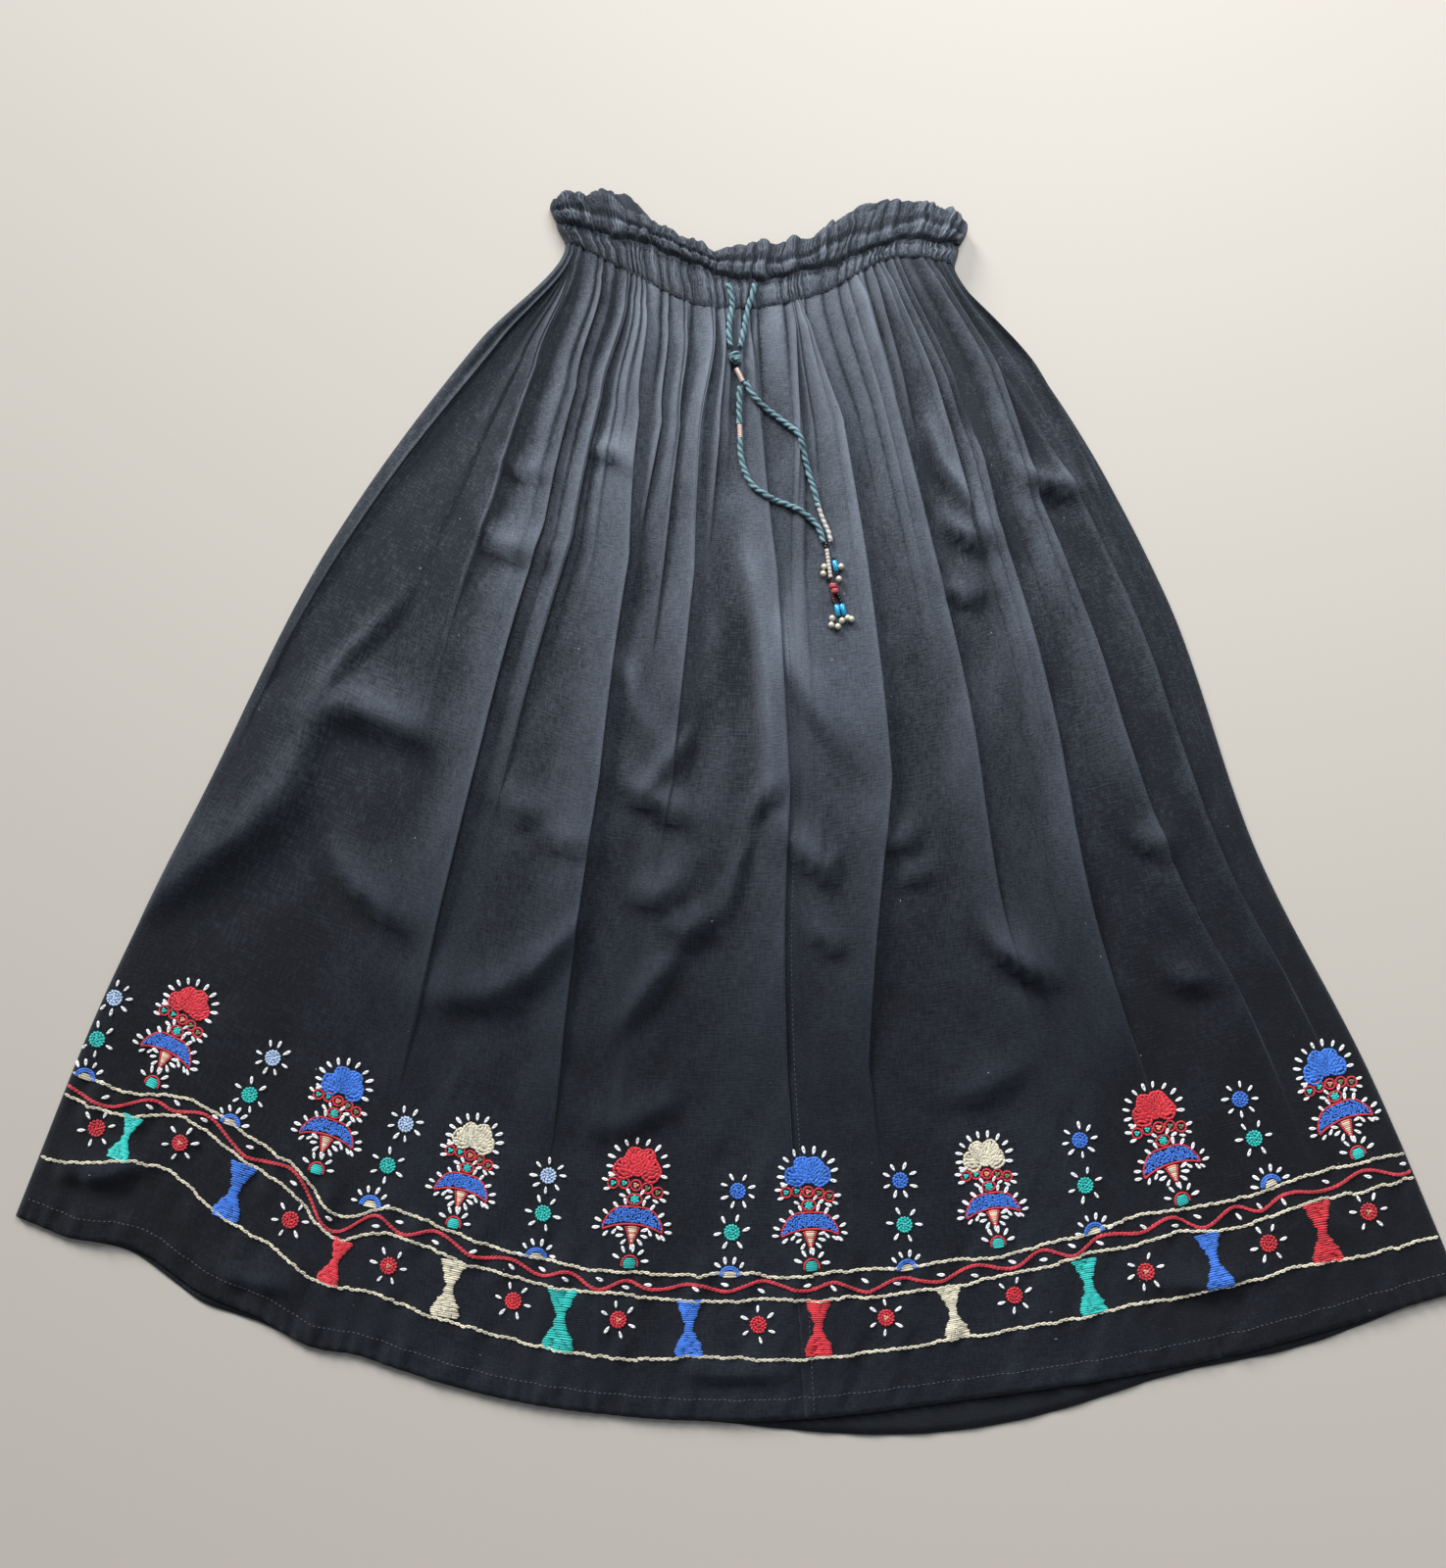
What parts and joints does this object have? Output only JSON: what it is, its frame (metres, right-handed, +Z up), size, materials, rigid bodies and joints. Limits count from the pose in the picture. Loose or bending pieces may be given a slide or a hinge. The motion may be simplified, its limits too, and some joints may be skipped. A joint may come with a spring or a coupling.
{
  "type": "gathered drawstring skirt",
  "caption": "Black cotton a-line skirt, gathered on a drawstring with bead ends and an embroidered hem, laid flat with its front up.",
  "frame": {"origin": "centre of the bottom of the box round the laid cloth, without the drawstring's free ends", "axes": "+X to the right side of the picture, +Y from the hem to the waist, +Z up from the surface it lies on"},
  "size_m": [0.992, 0.8664, 0.0236],
  "materials": {
    "cotton": "soft washed black cotton, faded to charcoal at the waist",
    "cotton_back": "soft washed black cotton",
    "cord": "twisted teal cotton cord",
    "white_winding": "wound white thread",
    "copper_winding": "wound copper-pink thread with a metallic sheen",
    "beads": "glossy turquoise, white and dark beads with dull gold balls"
  },
  "bodies": {
    "root": {"back": "cotton_back", "casing_back": "cotton_back", "frill_back": "cotton_back", "front_left": "cotton", "front_right": "cotton", "casing_front": "cotton", "frill_front": "cotton", "cord_loop_left": "cord", "cord_loop_right": "cord", "cord_knot": "cord", "cord_long": "cord", "cord_short": "cord", "cord_short_tail": "cord", "cord_long_wrap": "white_winding", "sleeve_upper": "copper_winding", "sleeve_lower": "copper_winding", "tassel_upper": "beads", "tassel_lower": "beads"}
  },
  "joints": []
}
